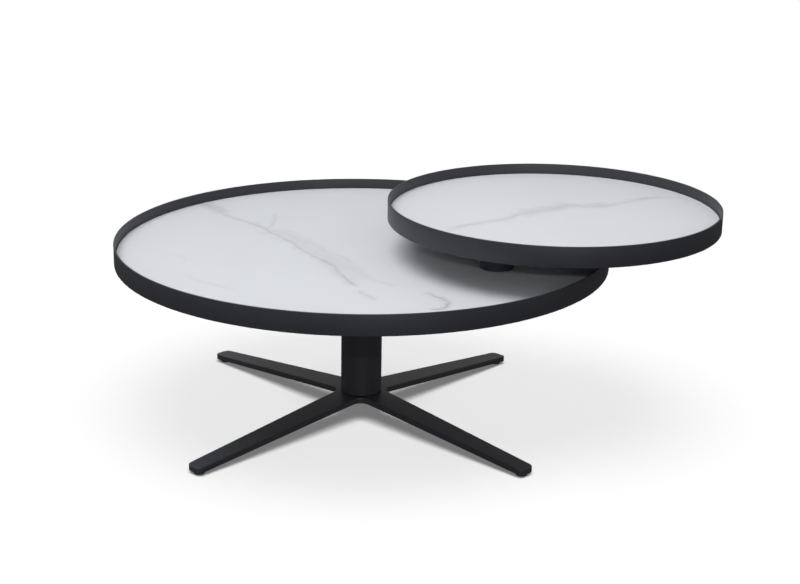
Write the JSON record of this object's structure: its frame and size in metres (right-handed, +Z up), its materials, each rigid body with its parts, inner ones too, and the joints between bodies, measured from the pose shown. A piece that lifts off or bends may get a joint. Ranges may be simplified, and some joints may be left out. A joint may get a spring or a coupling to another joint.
{
  "type": "swivel coffee table",
  "caption": "Low pedestal coffee table with two round rimmed ceramic trays, the smaller and higher one swivelling about an off-centre post over the larger.",
  "frame": {"origin": "on the floor, under the middle of the table's outline with the small tray as pictured", "axes": "+Z up, +X towards the side where the small tray stands out, +Y away from the viewer of the picture"},
  "size_m": [1.0944, 0.8999, 0.427],
  "materials": {
    "black_powder_coat": "satin fine-texture powder coat",
    "marble_ceramic": "matt, white with soft grey veins",
    "fibreboard": "plain pressed board",
    "joint_sealant": "matt",
    "black_polymer": "matt moulded",
    "zinc_plated_steel": "bright zinc plate",
    "turned_steel": "turned",
    "bearing_bronze": "bored and turned"
  },
  "bodies": {
    "base": {"star_base": "black_powder_coat", "glide_front_left": "black_polymer", "glide_front_right": "black_polymer", "glide_back_left": "black_polymer", "glide_back_right": "black_polymer", "column_tube": "black_powder_coat", "column_foot": "black_powder_coat", "foot_washers": "zinc_plated_steel", "foot_screws": "zinc_plated_steel", "mounting_plate": "black_powder_coat", "tongue_web": "black_powder_coat", "column_gussets": "black_powder_coat", "large_rim": "black_powder_coat", "large_pan": "black_powder_coat", "large_core_board": "fibreboard", "large_ceramic_top": "marble_ceramic", "large_joint_strip": "joint_sealant", "pan_bolts": "zinc_plated_steel", "pan_washers": "zinc_plated_steel", "pan_weld_nuts": "zinc_plated_steel", "spindle": "turned_steel", "flange_bolts": "zinc_plated_steel", "flange_washers": "zinc_plated_steel", "thrust_washer": "black_polymer", "retaining_washer": "zinc_plated_steel", "retaining_bolt": "zinc_plated_steel"},
    "swivel_tray": {"turning_post": "black_powder_coat", "lower_bush": "bearing_bronze", "upper_bush": "bearing_bronze", "swivel_plate": "black_powder_coat", "swivel_bolts": "zinc_plated_steel", "swivel_washers": "zinc_plated_steel", "swivel_weld_nuts": "zinc_plated_steel", "small_rim": "black_powder_coat", "small_pan": "black_powder_coat", "small_core_board": "fibreboard", "small_ceramic_top": "marble_ceramic", "small_joint_strip": "joint_sealant"}
  },
  "joints": [
    {"name": "tray_swivel", "type": "hinge", "parent": "base", "child": "swivel_tray", "pos_m": [0.13897, -0.12664, 0.36], "axis": [0, 0, 1], "continuous": true}
  ]
}
